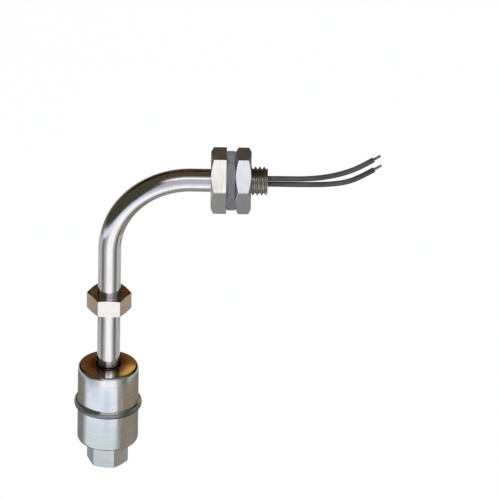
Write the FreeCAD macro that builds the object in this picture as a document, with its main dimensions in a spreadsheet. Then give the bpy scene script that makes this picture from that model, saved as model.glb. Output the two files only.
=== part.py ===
import FreeCAD, Part
import math
import os
import re

import Sketcher

# Float level switch with a right-angle stem, for mounting in the side of a tank.
#
# Frame: the origin lies on the axis of the mounting thread, in the plane of the gasket's free face, which is
# the plane of the tank wall. +X points out through the wall along the thread, +Z is up, and the stem hangs
# down at negative X. Lengths are in millimetres.

V = FreeCAD.Vector

# -----------------------------------------------------------------------------------------------------------
# Driving dimensions: alias, value, meaning
# -----------------------------------------------------------------------------------------------------------
SIZES = [
    ("stem_setback", 51.1, "tank wall plane to the stem's axis"),
    ("tube_dia", 9.5, "outer diameter of the bent tube"),
    ("tube_wall", 0.9, "wall of the bent tube"),
    ("bend_radius", 33.0, "bend of the tube, at its centreline"),
    ("socket_depth", 5.0, "depth of the sockets that take the tube's two ends"),
    ("socket_gap", 0.05, "radial gap of a brazed or bonded seat"),
    ("socket_floor_gap", 0.3, "gap between a tube's end and its socket's floor"),
    ("fit_gap", 0.03, "gap between pieces that are pressed or welded together"),
    ("flange_flats", 24.0, "across flats of the fitting's hexagonal flange"),
    ("flange_thick", 6.5, "thickness of that flange"),
    ("flange_turn", 38.0, "turn of the flange and nut about the thread, degrees"),
    ("thread_dia", 12.0, "outside diameter of the mounting thread"),
    ("thread_free", 6.7, "thread left over beyond the nut"),
    ("thread_lead_in", 0.8, "chamfer at the thread's end"),
    ("relief_dia", 9.8, "undercut between flange and thread"),
    ("relief_width", 2.4, "width of that undercut"),
    ("wire_bore", 7.0, "bore of the fitting, for the leads"),
    ("gasket_dia", 24.5, "outside diameter of the gasket"),
    ("gasket_thick", 3.6, "thickness of the gasket"),
    ("gasket_gap", 0.3, "radial gap between gasket and thread"),
    ("nut_flats", 24.0, "across flats of the mounting nut"),
    ("nut_height", 6.5, "height of the mounting nut"),
    ("nut_gap", 0.06, "radial running gap between nut and thread"),
    ("nut_seat_gap", 0.02, "gap between nut and gasket"),
    ("nut_mouth", 0.9, "depth of the chamfer at both mouths of the nut's bore"),
    ("nut_mouth_flare", 0.54, "that chamfer's growth of the bore's radius"),
    ("corner_chamfer", 1.1, "depth along the axis of the turned chamfer on hexagon corners"),
    ("corner_slope", 30.0, "slope of that chamfer from the end face, degrees"),
    ("chamfer_inset", 0.16, "start of the chamfers inside the flats"),
    ("stop_chamfer", 0.5, "depth along the axis of the turned chamfer on the stops' corners"),
    ("stop_slope", 15.0, "slope of that chamfer from the end face, degrees"),
    ("edge_round", 0.35, "rounding of a hexagon's long edges"),
    ("stop_flats", 16.0, "across flats of the upper stop"),
    ("stop_height", 7.5, "height of the upper stop"),
    ("stop_drop", 53.5, "arm axis down to the top of the upper stop"),
    ("screw_dia", 3.0, "grub screw in the upper stop"),
    ("screw_length", 3.0, "length of the grub screw"),
    ("screw_point", 0.5, "depth of the grub screw's cone point"),
    ("screw_key", 1.5, "across flats of the grub screw's key"),
    ("screw_key_depth", 1.3, "depth of the key's socket"),
    ("cap_flats", 15.0, "across flats of the lower stop cap"),
    ("cap_height", 10.0, "height of the lower stop cap"),
    ("cap_drop", 123.0, "arm axis down to the top of the lower stop cap"),
    ("cap_turn", 11.0, "turn of the lower stop cap about the stem, degrees"),
    ("float_dia", 25.0, "outside diameter of the float's shells"),
    ("float_height", 35.3, "height of the float"),
    ("float_wall", 0.25, "wall of the float's shells"),
    ("float_top_round", 0.9, "outer corner radius of the upper shell"),
    ("float_bottom_round", 1.6, "outer corner radius of the lower shell"),
    ("float_seat_gap", 0.1, "gap under the resting float"),
    ("rim_step", 1.1, "step of the shells' rims out from their walls"),
    ("rim_height", 2.8, "height of both rims together"),
    ("rim_round", 0.7, "outer corner radius of a rim"),
    ("seam_gap", 0.04, "gap between the two rims"),
    ("weld_thick", 0.3, "weld bead standing out from the rims"),
    ("weld_height", 1.6, "height of the weld bead"),
    ("weld_round", 0.25, "corner radius of the weld bead"),
    ("sleeve_gap", 0.4, "radial running gap between float sleeve and stem"),
    ("sleeve_wall", 0.25, "wall of the float sleeve"),
    ("sleeve_proud", 0.4, "float sleeve standing above the upper shell"),
    ("magnet_dia", 16.0, "outside diameter of the ring magnet"),
    ("magnet_height", 5.0, "height of the ring magnet"),
    ("magnet_lift", 8.0, "float's underside up to the magnet's underside"),
    ("magnet_gap", 0.1, "radial gap between magnet and sleeve"),
    ("clip_dia", 14.0, "outside diameter of a magnet clip"),
    ("clip_thick", 0.3, "thickness of a magnet clip"),
    ("lead_dia", 2.2, "outside diameter of a lead"),
    ("lead_space", 0.4, "space between the two leads"),
    ("lead_gap", 0.04, "gap round a lead in the potting plug"),
    ("tip_dia", 1.2, "diameter of a lead's bare end"),
    ("tip_length", 3.5, "length of a lead's bare end"),
    ("plug_length", 9.0, "length of the potting plug"),
    ("reed_drop", 88.0, "arm axis down to the middle of the reed capsule"),
    ("glass_dia", 2.4, "outside diameter of the reed's glass"),
    ("glass_length", 14.0, "length of the reed's glass"),
    ("glass_wall", 0.35, "wall of the reed's glass"),
    ("glass_end", 1.6, "length of a sealed glass end"),
    ("glass_taper", 0.4, "loss of radius at the glass's rounded ends"),
    ("glass_shoulder", 0.6, "length of those rounded ends"),
    ("wire_dia", 0.5, "reed blade's round shank"),
    ("blade_width", 1.0, "reed blade's flat contact end"),
    ("blade_thick", 0.2, "thickness of that flat end"),
    ("blade_overlap", 1.2, "overlap of the two contact ends"),
    ("blade_gap", 0.15, "open gap between the two contact ends"),
    ("shank_reach", 2.4, "reed shank standing out of the glass"),
    ("shank_end_gap", 0.5, "reed shank's start inside the sealed end"),
    ("board_thick", 0.8, "thickness of the reed's board"),
    ("board_offset", 0.35, "stem's axis to the board's front face"),
    ("board_side_gap", 0.3, "gap between the board's edges and the insulating sleeve"),
    ("board_margin", 1.4, "board past the lower reed joint"),
    ("board_space", 2.0, "space between the upper reed joint and the lead joints"),
    ("board_gap", 0.1, "gap between board and glass"),
    ("joint_width", 1.5, "width of a solder joint"),
    ("joint_thick", 0.8, "thickness of a lead's solder joint"),
    ("lead_joint", 2.4, "height of a lead's solder joint"),
    ("reed_joint", 1.2, "height of a reed shank's solder joint"),
    ("insulation_gap", 0.2, "radial gap between insulating sleeve and tube"),
    ("insulation_wall", 0.4, "wall of the insulating sleeve"),
    ("insulation_margin", 1.0, "insulating sleeve past each end of the board"),
]

doc = FreeCAD.newDocument("FloatLevelSwitch")
sheet = doc.addObject("Spreadsheet::Sheet", "Sizes")
for row, (alias, amount, meaning) in enumerate(SIZES, start=1):
    sheet.set(f"A{row}", str(amount))
    sheet.setAlias(f"A{row}", alias)
    sheet.set(f"B{row}", "'" + meaning)
doc.recompute()

ALIASES = re.compile(r"\b(" + "|".join(alias for alias, _, _ in SIZES) + r")\b")

# places that several pieces share, as text worked out from the sheet
FLANGE_BACK = "-(gasket_thick + flange_thick)"
THREAD_END = "nut_seat_gap + nut_height + thread_free"
TUBE_END_X = f"({FLANGE_BACK} + socket_depth - socket_floor_gap)"
TUBE_END_Z = "-(cap_drop + socket_depth - socket_floor_gap)"
FLOAT_LEVEL = "-(cap_drop - float_seat_gap)"
SLEEVE_OUT = "tube_dia / 2 + sleeve_gap + sleeve_wall"
SHELL_HOLE = f"({SLEEVE_OUT} + fit_gap)"
RIM_RADIUS = "(float_dia / 2 + rim_step)"
LEAD_AXIS = "(lead_dia / 2 + lead_space / 2)"
REED_DEPTH = "(board_offset - board_gap - glass_dia / 2)"
INSULATION_OUT = "(tube_dia / 2 - tube_wall - insulation_gap)"
INSULATION_IN = f"({INSULATION_OUT} - insulation_wall)"
BOARD_HALF = f"(sqrt({INSULATION_IN} ^ 2 - (board_offset + board_thick) ^ 2) - board_side_gap)"
REED_REACH = "(glass_length / 2 + shank_reach)"
BOARD_BELOW = f"({REED_REACH} + reed_joint + board_margin)"
BOARD_ABOVE = f"({REED_REACH} + reed_joint + board_space + lead_joint)"


def bound(text):
    """The expression in full, with each alias read from the sheet."""
    return ALIASES.sub(r"Sizes.\1", text)


def size(text):
    """The present value of an expression in aliases."""
    amount = sheet.evalExpression(bound(text))
    return float(getattr(amount, "Value", amount))


# -----------------------------------------------------------------------------------------------------------
# Sketches and features
# -----------------------------------------------------------------------------------------------------------
def new_body(label, x="0", z="0"):
    """An empty body whose own origin is at (x, 0, z)."""
    body = doc.addObject("PartDesign::Body", label)
    body.Label = label
    body.setExpression("Placement.Base.x", bound(x))
    body.setExpression("Placement.Base.z", bound(z))
    return body


def new_sketch(body, name, plane, level="0"):
    """A sketch on one of the body's origin planes, raised along the plane's normal."""
    sketch = body.newObject("Sketcher::SketchObject", f"{body.Label}_{name}")
    support = [part for part in body.Origin.OriginFeatures if part.Role == plane][0]
    sketch.AttachmentSupport = [(support, "")]
    sketch.MapMode = "FlatFace"
    sketch.setExpression("AttachmentOffset.Base.z", bound(level))
    return sketch


def bind(sketch, constraint, text):
    """Add a constraint and tie its value to the sheet."""
    index = sketch.addConstraint(constraint)
    sketch.setExpression(f"Constraints[{index}]", bound(text))


def add_circle(sketch, radius, across="0", up="0", construction=False):
    """A circle about (across, up)."""
    circle = Part.Circle(V(size(across), size(up), 0), V(0, 0, 1), size(radius))
    index = sketch.addGeometry(circle, construction)
    bind(sketch, Sketcher.Constraint("DistanceX", -1, 1, index, 3, size(across)), across)
    bind(sketch, Sketcher.Constraint("DistanceY", -1, 1, index, 3, size(up)), up)
    bind(sketch, Sketcher.Constraint("Radius", index, size(radius)), radius)


def add_outline(sketch, corners, closed=True):
    """Join corners by lines and arcs. A corner is (across, up), reached by a line, or
    (across, up, centre across, centre up, radius), reached by the arc about that centre."""
    count = len(corners)
    first = sketch.GeometryCount
    places = [V(size(corner[0]), size(corner[1]), 0) for corner in corners]
    ends = []
    for i in range(count if closed else count - 1):
        start = places[i]
        stop = places[(i + 1) % count]
        target = corners[(i + 1) % count]
        if len(target) == 2:
            sketch.addGeometry(Part.LineSegment(start, stop), False)
            ends.append((1, 2))
            continue
        centre = V(size(target[2]), size(target[3]), 0)
        turn = (start - centre).cross(stop - centre).z
        begin, finish = (start, stop) if turn > 0 else (stop, start)
        angles = [math.atan2(point.y - centre.y, point.x - centre.x) for point in (begin, finish)]
        circle = Part.Circle(centre, V(0, 0, 1), (start - centre).Length)
        sketch.addGeometry(Part.ArcOfCircle(circle, angles[0], angles[1]), False)
        ends.append((1, 2) if turn > 0 else (2, 1))
    for i, (begin, finish) in enumerate(ends):
        edge = first + i
        if closed or i + 1 < len(ends):
            follower = (i + 1) % len(ends)
            sketch.addConstraint(
                Sketcher.Constraint("Coincident", edge, finish, first + follower, ends[follower][0])
            )
        across, up = corners[i][:2]
        bind(sketch, Sketcher.Constraint("DistanceX", -1, 1, edge, begin, places[i].x), across)
        bind(sketch, Sketcher.Constraint("DistanceY", -1, 1, edge, begin, places[i].y), up)
        target = corners[(i + 1) % count]
        if len(target) == 5:
            bind(sketch, Sketcher.Constraint("Radius", edge, size(target[4])), target[4])
    if not closed:
        last = first + len(ends) - 1
        across, up = corners[-1][:2]
        bind(sketch, Sketcher.Constraint("DistanceX", -1, 1, last, ends[-1][1], places[-1].x), across)
        bind(sketch, Sketcher.Constraint("DistanceY", -1, 1, last, ends[-1][1], places[-1].y), up)


def add_hexagon(sketch, flats, turn):
    """A hexagon by its size across flats, with one flat's normal turned from the sketch's first axis."""
    corners = []
    for i in range(6):
        angle = f"({turn} + {30 + 60 * i}) * 1 deg"
        reach = f"{flats} / 2 / cos(30 deg)"
        corners.append((f"{reach} * cos({angle})", f"{reach} * sin({angle})"))
    add_outline(sketch, corners)


def add_feature(body, kind, name, sketch, **settings):
    """A sketch-based feature of a body."""
    feature = body.newObject(f"PartDesign::{kind}", f"{body.Label}_{name}")
    feature.Profile = sketch
    for key, setting in settings.items():
        if key == "Length":
            feature.setExpression("Length", bound(setting))
        else:
            setattr(feature, key, setting)
    sketch.Visibility = False
    doc.recompute()
    return feature


def revolve(body, name, corners, axis, cut=False):
    """A closed outline in the XZ plane turned about the body's X axis (H_Axis) or Z axis (V_Axis)."""
    sketch = new_sketch(body, f"{name}_outline", "XZ_Plane")
    add_outline(sketch, corners)
    kind = "Groove" if cut else "Revolution"
    return add_feature(body, kind, name, sketch, ReferenceAxis=(sketch, [axis]), Angle=360)


def pad_hexagon(body, name, plane, flats, turn, length, level="0"):
    """A hexagonal bar with its long edges rounded."""
    sketch = new_sketch(body, f"{name}_outline", plane, level)
    add_hexagon(sketch, flats, turn)
    pad = add_feature(body, "Pad", name, sketch, Length=length)
    long_edges = []
    for number, edge in enumerate(pad.Shape.Edges, start=1):
        along = edge.Vertexes[1].Point - edge.Vertexes[0].Point
        if abs(along.Length - size(length)) < 1e-6:
            long_edges.append(f"Edge{number}")
    rounding = body.newObject("PartDesign::Fillet", f"{body.Label}_{name}_rounding")
    rounding.Base = (pad, long_edges)
    rounding.setExpression("Radius", bound("edge_round"))
    doc.recompute()
    return rounding


def turned_chamfer(body, name, flats, end, inward, axis, depth="corner_chamfer", slope="corner_slope"):
    """The chamfer that a lathe leaves on a hexagon's corners, at the end face and going inward."""
    inside = f"({flats} / 2 - chamfer_inset)"
    outside = f"({inside} + {depth} / tan({slope}))"
    foot = f"({end} {inward} {depth})"
    corners = [(inside, end), (outside, end), (outside, foot)]
    if axis == "H_Axis":
        corners = [(up, across) for across, up in corners]
    return revolve(body, name, corners, axis, cut=True)


def round_pocket(body, name, plane, radius, level, length, reverse, across="0", up="0"):
    """A round hole of one radius, cut from a sketch plane."""
    sketch = new_sketch(body, f"{name}_outline", plane, level)
    add_circle(sketch, radius, across, up)
    before = body.Shape.Volume
    pocket = add_feature(body, "Pocket", name, sketch, Length=length, Reversed=reverse)
    if body.Shape.Volume >= before:
        raise RuntimeError(f"{body.Label}: {name} cuts nothing")
    return pocket


def turned_ring(label, radius_in, radius_out, low, high, x="0", z="0", axis="V_Axis"):
    """A plain ring or tube, turned about the body's Z axis, or about its X axis."""
    body = new_body(label, x, z)
    corners = [(radius_in, low), (radius_out, low), (radius_out, high), (radius_in, high)]
    if axis == "H_Axis":
        corners = [(up, across) for across, up in corners]
    revolve(body, "turning", corners, axis)
    return body


# -----------------------------------------------------------------------------------------------------------
# Bent tube and what follows its line
# -----------------------------------------------------------------------------------------------------------
def bent_run(label, outside, low, far, radius_out, radius_in=None):
    """A round run up the stem, round the bend and out along the arm, shifted to the bend's outside."""
    body = new_body(label)
    stem_x = f"(-stem_setback - {outside})"
    bend_x = "(bend_radius - stem_setback)"
    path = new_sketch(body, "path", "XZ_Plane")
    bend = (bend_x, outside, bend_x, "-bend_radius", f"bend_radius + {outside}")
    add_outline(path, [(stem_x, low), (stem_x, "-bend_radius"), bend, (far, outside)], closed=False)
    section = new_sketch(body, "section", "XY_Plane", low)
    add_circle(section, radius_out, stem_x)
    if radius_in:
        add_circle(section, radius_in, stem_x)
    doc.recompute()
    pipe = body.newObject("PartDesign::AdditivePipe", f"{label}_pipe")
    pipe.Profile = section
    pipe.Spine = (path, [f"Edge{n}" for n in (1, 2, 3)])
    doc.recompute()
    path.Visibility = False
    section.Visibility = False
    return body


def make_stem_tube():
    bore = "tube_dia / 2 - tube_wall"
    return bent_run("stem_tube", "0", TUBE_END_Z, TUBE_END_X, "tube_dia / 2", bore)


def make_inner_leads():
    """The leads' hidden runs, from the reed's board to the mouth of the thread."""
    low = f"-(reed_drop - {BOARD_ABOVE} - fit_gap)"
    outer = bent_run("inner_lead_a", LEAD_AXIS, low, THREAD_END, "lead_dia / 2")
    inner = bent_run("inner_lead_b", f"(-{LEAD_AXIS})", low, THREAD_END, "lead_dia / 2")
    return [outer, inner]


# -----------------------------------------------------------------------------------------------------------
# Fitting, gasket and nut
# -----------------------------------------------------------------------------------------------------------
def make_mounting_fitting():
    """Flange and threaded shank turned from hexagonal bar, bored for the leads and for the tube's end."""
    body = new_body("mounting_fitting")
    turn = "(180 - flange_turn)"
    pad_hexagon(body, "flange", "YZ_Plane", "flange_flats", turn, "flange_thick", FLANGE_BACK)
    turned_chamfer(body, "flange_chamfer", "flange_flats", FLANGE_BACK, "+", "H_Axis")
    thread = "thread_dia / 2"
    relief = "relief_dia / 2"
    relief_end = "(relief_width - gasket_thick)"
    revolve(
        body,
        "shank",
        [
            ("-gasket_thick - flange_thick / 2", "0"),
            ("-gasket_thick - flange_thick / 2", relief),
            (relief_end, relief),
            (f"{relief_end} + {thread} - {relief}", thread),
            (f"{THREAD_END} - thread_lead_in", thread),
            (THREAD_END, f"{thread} - thread_lead_in"),
            (THREAD_END, "0"),
        ],
        "H_Axis",
    )
    whole = f"{THREAD_END} - ({FLANGE_BACK})"
    round_pocket(body, "wire_bore", "YZ_Plane", "wire_bore / 2", FLANGE_BACK, whole, True)
    socket = "tube_dia / 2 + socket_gap"
    round_pocket(body, "tube_socket", "YZ_Plane", socket, FLANGE_BACK, "socket_depth", True)
    return body


def make_sealing_gasket():
    """Flat ring with slightly rounded rims."""
    inner = "(thread_dia / 2 + gasket_gap)"
    body = turned_ring("sealing_gasket", inner, "gasket_dia / 2", "-gasket_thick", "0", axis="H_Axis")
    turning = body.Tip
    rims = [
        f"Edge{n}"
        for n, edge in enumerate(turning.Shape.Edges, start=1)
        if isinstance(edge.Curve, Part.Circle) and abs(edge.Curve.Radius - size("gasket_dia / 2")) < 1e-6
    ]
    rounding = body.newObject("PartDesign::Fillet", "sealing_gasket_rounding")
    rounding.Base = (turning, rims)
    rounding.setExpression("Radius", bound("edge_round"))
    doc.recompute()
    return body


def make_mounting_nut():
    """Hexagonal nut, chamfered on both faces and at both mouths of its bore."""
    body = new_body("mounting_nut", x="nut_seat_gap")
    pad_hexagon(body, "hexagon", "YZ_Plane", "nut_flats", "(180 - flange_turn)", "nut_height")
    turned_chamfer(body, "inner_chamfer", "nut_flats", "0", "+", "H_Axis")
    turned_chamfer(body, "outer_chamfer", "nut_flats", "nut_height", "-", "H_Axis")
    bore = "(thread_dia / 2 + nut_gap)"
    round_pocket(body, "bore", "YZ_Plane", bore, "0", "nut_height", True)
    mouth = f"({bore} + nut_mouth_flare)"
    inner_mouth = [("0", bore), ("0", mouth), ("nut_mouth", bore)]
    outer_mouth = [("nut_height", bore), ("nut_height", mouth), ("nut_height - nut_mouth", bore)]
    revolve(body, "inner_mouth", inner_mouth, "H_Axis", cut=True)
    revolve(body, "outer_mouth", outer_mouth, "H_Axis", cut=True)
    return body


# -----------------------------------------------------------------------------------------------------------
# Stops
# -----------------------------------------------------------------------------------------------------------
def make_upper_stop():
    """Collar with a tapped hole in its back flat; its own origin is at the middle of its underside."""
    body = new_body("upper_stop", "-stem_setback", "-(stop_drop + stop_height)")
    pad_hexagon(body, "hexagon", "XY_Plane", "stop_flats", "90", "stop_height")
    cone = ("V_Axis", "stop_chamfer", "stop_slope")
    turned_chamfer(body, "lower_chamfer", "stop_flats", "0", "+", *cone)
    turned_chamfer(body, "upper_chamfer", "stop_flats", "stop_height", "-", *cone)
    round_pocket(body, "bore", "XY_Plane", "tube_dia / 2 + socket_gap", "0", "stop_height", True)
    hole = "screw_dia / 2 + socket_gap"
    round_pocket(body, "screw_hole", "XZ_Plane", hole, "0", "stop_flats", False, up="stop_height / 2")
    return body


def make_upper_stop_screw():
    """Grub screw with a cone point on the tube and a hexagonal key socket."""
    body = new_body("upper_stop_screw", "-stem_setback", "-(stop_drop + stop_height / 2)")
    inner = "(tube_dia / 2 + socket_gap)"
    radius = "screw_dia / 2"
    sketch = new_sketch(body, "outline", "YZ_Plane")
    add_outline(
        sketch,
        [
            (inner, "0"),
            (f"{inner} + screw_length", "0"),
            (f"{inner} + screw_length", radius),
            (f"{inner} + screw_point", radius),
            (inner, f"{radius} - screw_point"),
        ],
    )
    add_feature(body, "Revolution", "turning", sketch, ReferenceAxis=(sketch, ["H_Axis"]), Angle=360)
    key = new_sketch(body, "key", "XZ_Plane", f"-({inner} + screw_length)")
    add_hexagon(key, "screw_key", "0")
    before = body.Shape.Volume
    add_feature(body, "Pocket", "key_socket", key, Length="screw_key_depth", Reversed=True)
    if body.Shape.Volume >= before:
        raise RuntimeError("upper_stop_screw: the key socket cuts nothing")
    return body


def make_lower_stop_cap():
    """Closed hexagonal cap on the stem's end; its own origin is at the middle of its underside."""
    body = new_body("lower_stop_cap", "-stem_setback", "-(cap_drop + cap_height)")
    pad_hexagon(body, "hexagon", "XY_Plane", "cap_flats", "(90 - cap_turn)", "cap_height")
    cone = ("V_Axis", "stop_chamfer", "stop_slope")
    turned_chamfer(body, "lower_chamfer", "cap_flats", "0", "+", *cone)
    turned_chamfer(body, "upper_chamfer", "cap_flats", "cap_height", "-", *cone)
    socket = "tube_dia / 2 + socket_gap"
    floor = "cap_height - socket_depth"
    round_pocket(body, "tube_socket", "XY_Plane", socket, floor, "socket_depth", True)
    return body


# -----------------------------------------------------------------------------------------------------------
# Float: every body's own origin is at the middle of the float's underside
# -----------------------------------------------------------------------------------------------------------
def make_float_shell(label, side, corner):
    """Drawn cup with a stepped rim. side is + for the upper shell and - for the lower, corner its outer
    radius. The outline gives each point's radius and its distance from the seam."""
    outer = "float_dia / 2"
    turn = f"(float_dia / 2 - {corner})"
    shelf = "(float_height / 2)"
    bend = f"(float_height / 2 - {corner})"
    rim = RIM_RADIUS
    rim_turn = f"({RIM_RADIUS} - rim_round)"
    step = "(rim_height / 2)"
    rim_bend = "(rim_height / 2 - rim_round)"
    outline = [
        (SHELL_HOLE, shelf),
        (turn, shelf),
        (outer, bend, turn, bend, corner),
        (outer, step),
        (rim_turn, step),
        (rim, rim_bend, rim_turn, rim_bend, "rim_round"),
        (rim, "seam_gap / 2"),
        (f"{rim} - float_wall", "seam_gap / 2"),
        (f"{rim} - float_wall", rim_bend),
        (rim_turn, f"{step} - float_wall", rim_turn, rim_bend, "rim_round - float_wall"),
        (f"{outer} - float_wall", f"{step} - float_wall"),
        (f"{outer} - float_wall", bend),
        (turn, f"{shelf} - float_wall", turn, bend, f"{corner} - float_wall"),
        (SHELL_HOLE, f"{shelf} - float_wall"),
    ]
    corners = []
    for across, up, *arc in outline:
        place = [across, f"float_height / 2 {side} ({up})"]
        if arc:
            place += [arc[0], f"float_height / 2 {side} ({arc[1]})", arc[2]]
        corners.append(tuple(place))
    body = new_body(label, "-stem_setback", FLOAT_LEVEL)
    revolve(body, "cup", corners, "V_Axis")
    return body


def make_weld_band():
    """Bead that joins the two rims."""
    inside = f"({RIM_RADIUS} + fit_gap)"
    outside = f"({RIM_RADIUS} + weld_thick)"
    turn = f"({RIM_RADIUS} + weld_thick - weld_round)"
    low = "(float_height / 2 - weld_height / 2)"
    high = "(float_height / 2 + weld_height / 2)"
    low_bend = f"({low} + weld_round)"
    high_bend = f"({high} - weld_round)"
    body = new_body("float_weld_band", "-stem_setback", FLOAT_LEVEL)
    corners = [
        (inside, low),
        (turn, low),
        (outside, low_bend, turn, low_bend, "weld_round"),
        (outside, high_bend),
        (turn, high, turn, high_bend, "weld_round"),
        (inside, high),
    ]
    revolve(body, "bead", corners, "V_Axis")
    return body


def make_float_fillings():
    """Sleeve, magnet and the two rings that clip the magnet to the sleeve."""
    at = {"x": "-stem_setback", "z": FLOAT_LEVEL}
    bore = "(tube_dia / 2 + sleeve_gap)"
    sleeve = turned_ring("float_sleeve", bore, SLEEVE_OUT, "0", "float_height + sleeve_proud", **at)
    magnet_bore = f"({SLEEVE_OUT} + magnet_gap)"
    clip_bore = f"({SLEEVE_OUT} + fit_gap)"
    low = "magnet_lift"
    high = "(magnet_lift + magnet_height)"
    magnet = turned_ring("float_magnet", magnet_bore, "magnet_dia / 2", low, high, **at)
    above = f"({high} + fit_gap)"
    below = f"({low} - fit_gap)"
    upper = turned_ring("magnet_clip_upper", clip_bore, "clip_dia / 2", above, f"{above} + clip_thick", **at)
    lower = turned_ring("magnet_clip_lower", clip_bore, "clip_dia / 2", f"{below} - clip_thick", below, **at)
    return [sleeve, magnet, upper, lower]


# -----------------------------------------------------------------------------------------------------------
# Reed contact and its board
# -----------------------------------------------------------------------------------------------------------
def make_reed_glass():
    """Sealed capsule, hollow between its two ends; its own origin is at its middle."""
    body = new_body("reed_glass", "-stem_setback", "-reed_drop")
    body.setExpression("Placement.Base.y", bound(REED_DEPTH))
    hole = "(wire_dia / 2 + fit_gap)"
    bore = "(glass_dia / 2 - glass_wall)"
    end = "glass_length / 2"
    inner = "(glass_length / 2 - glass_end)"
    revolve(
        body,
        "capsule",
        [
            (hole, f"-{end}"),
            ("glass_dia / 2 - glass_taper", f"-{end}"),
            ("glass_dia / 2", f"-{end} + glass_shoulder"),
            ("glass_dia / 2", f"{end} - glass_shoulder"),
            ("glass_dia / 2 - glass_taper", end),
            (hole, end),
            (hole, inner),
            (bore, inner),
            (bore, f"-{inner}"),
            (hole, f"-{inner}"),
        ],
        "V_Axis",
    )
    return body


def make_reed_blade(label, way):
    """Round shank through one end of the glass, flattened inside it into a contact. way is 1 up, -1 down."""
    shank = doc.addObject("Part::Cylinder", f"{label}_shank")
    shank.setExpression("Radius", bound("wire_dia / 2"))
    shank.setExpression("Height", bound("glass_end + shank_reach + shank_end_gap"))
    low = "-reed_drop + glass_length / 2 - glass_end - shank_end_gap"
    if way < 0:
        low = "-reed_drop - glass_length / 2 - shank_reach"
    flat = doc.addObject("Part::Box", f"{label}_flat")
    flat.setExpression("Length", bound("blade_width"))
    flat.setExpression("Width", bound("blade_thick"))
    flat.setExpression("Height", bound("glass_length / 2 - glass_end + blade_overlap / 2 - board_gap"))
    flat_low = "-reed_drop - blade_overlap / 2"
    flat_y = f"{REED_DEPTH} + blade_gap / 2"
    if way < 0:
        flat_low = "-reed_drop - glass_length / 2 + glass_end + board_gap"
        flat_y = f"{REED_DEPTH} - blade_gap / 2 - blade_thick"
    for piece, place in (
        (shank, ("-stem_setback", REED_DEPTH, low)),
        (flat, ("-stem_setback - blade_width / 2", flat_y, flat_low)),
    ):
        for axis, text in zip("xyz", place):
            piece.setExpression(f"Placement.Base.{axis}", bound(text))
    blade = doc.addObject("Part::Fuse", label)
    blade.Label = label
    blade.Base = shank
    blade.Tool = flat
    doc.recompute()
    return blade


def new_box(name, corner, lengths):
    """A box by its low corner and its three lengths."""
    box = doc.addObject("Part::Box", name)
    box.Label = name
    for axis, side, place, length in zip("xyz", ("Length", "Width", "Height"), corner, lengths):
        box.setExpression(f"Placement.Base.{axis}", bound(place))
        box.setExpression(side, bound(length))
    return box


def make_reed_board():
    """Narrow board behind the reed capsule."""
    corner = (f"-stem_setback - {BOARD_HALF}", "board_offset", f"-reed_drop - {BOARD_BELOW}")
    sides = (f"2 * {BOARD_HALF}", "board_thick", f"{BOARD_ABOVE} + {BOARD_BELOW}")
    board = new_box("reed_board", corner, sides)
    doc.recompute()
    return board


def make_solder_joints():
    """Two joints where the leads meet the board's top and two where the reed's shanks meet it."""
    blocks = []
    for side in (-1, 1):
        x = f"-stem_setback + {side} * {LEAD_AXIS} - joint_width / 2"
        corner = (x, "board_offset - joint_thick", f"-reed_drop + {BOARD_ABOVE} - lead_joint")
        sides = ("joint_width", "joint_thick", "lead_joint")
        blocks.append(new_box(f"lead_joint_{len(blocks)}", corner, sides))
    front = f"({REED_DEPTH} - wire_dia / 2)"
    above = f"-reed_drop + {REED_REACH} + fit_gap"
    below = f"-reed_drop - {REED_REACH} - fit_gap - reed_joint"
    for low in (above, below):
        corner = ("-stem_setback - joint_width / 2", front, low)
        lengths = ("joint_width", f"board_offset - {front}", "reed_joint")
        blocks.append(new_box(f"reed_joint_{len(blocks)}", corner, lengths))
    joints = doc.addObject("Part::Compound", "solder_joints")
    joints.Label = "solder_joints"
    joints.Links = blocks
    doc.recompute()
    return joints


def make_insulating_sleeve():
    """Thin sleeve between the board and the bore of the stem."""
    low = f"-{BOARD_BELOW} - insulation_margin"
    high = f"{BOARD_ABOVE} + insulation_margin"
    at = ("-stem_setback", "-reed_drop")
    return turned_ring("insulating_sleeve", INSULATION_IN, INSULATION_OUT, low, high, *at)


# -----------------------------------------------------------------------------------------------------------
# Leads beyond the thread
# -----------------------------------------------------------------------------------------------------------
def make_potting_plug():
    """Sealing compound in the thread's mouth, with a hole for each lead."""
    body = new_body("potting_plug", x=f"{THREAD_END} - plug_length")
    sketch = new_sketch(body, "outline", "YZ_Plane")
    add_circle(sketch, "wire_bore / 2 - fit_gap")
    for side in ("", "-"):
        add_circle(sketch, "lead_dia / 2 + lead_gap", up=f"{side}{LEAD_AXIS}")
    add_feature(body, "Pad", "fill", sketch, Length="plug_length")
    return body


# The free leads' routes, as steps beyond the thread's end: along X, along Y and up from the lead's own axis.
LEAD_ROUTES = {
    "lead_a": [(0, 0, 0), (7.2, 0, 0), (16.2, 0.3, -0.1), (24.3, 0.2, 1.0),
               (31.8, -0.3, 3.4), (38.1, -0.8, 6.7), (43.0, -1.0, 10.1)],
    "lead_b": [(0, 0, 0), (7.2, 0, 0), (16.2, -0.2, 0.1), (25.3, 0, 0.3),
               (32.8, 0.4, 1.3), (38.8, 0.8, 4.1), (43.4, 1.0, 7.0)],
}


def corner_radius(before, corner, after):
    """The arc that the two runs at a corner of a cord allow."""
    run_in = corner - before
    run_out = after - corner
    turn = run_in.getAngle(run_out)
    return 0.45 * min(run_in.Length, run_out.Length) / math.tan(turn / 2)


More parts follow.
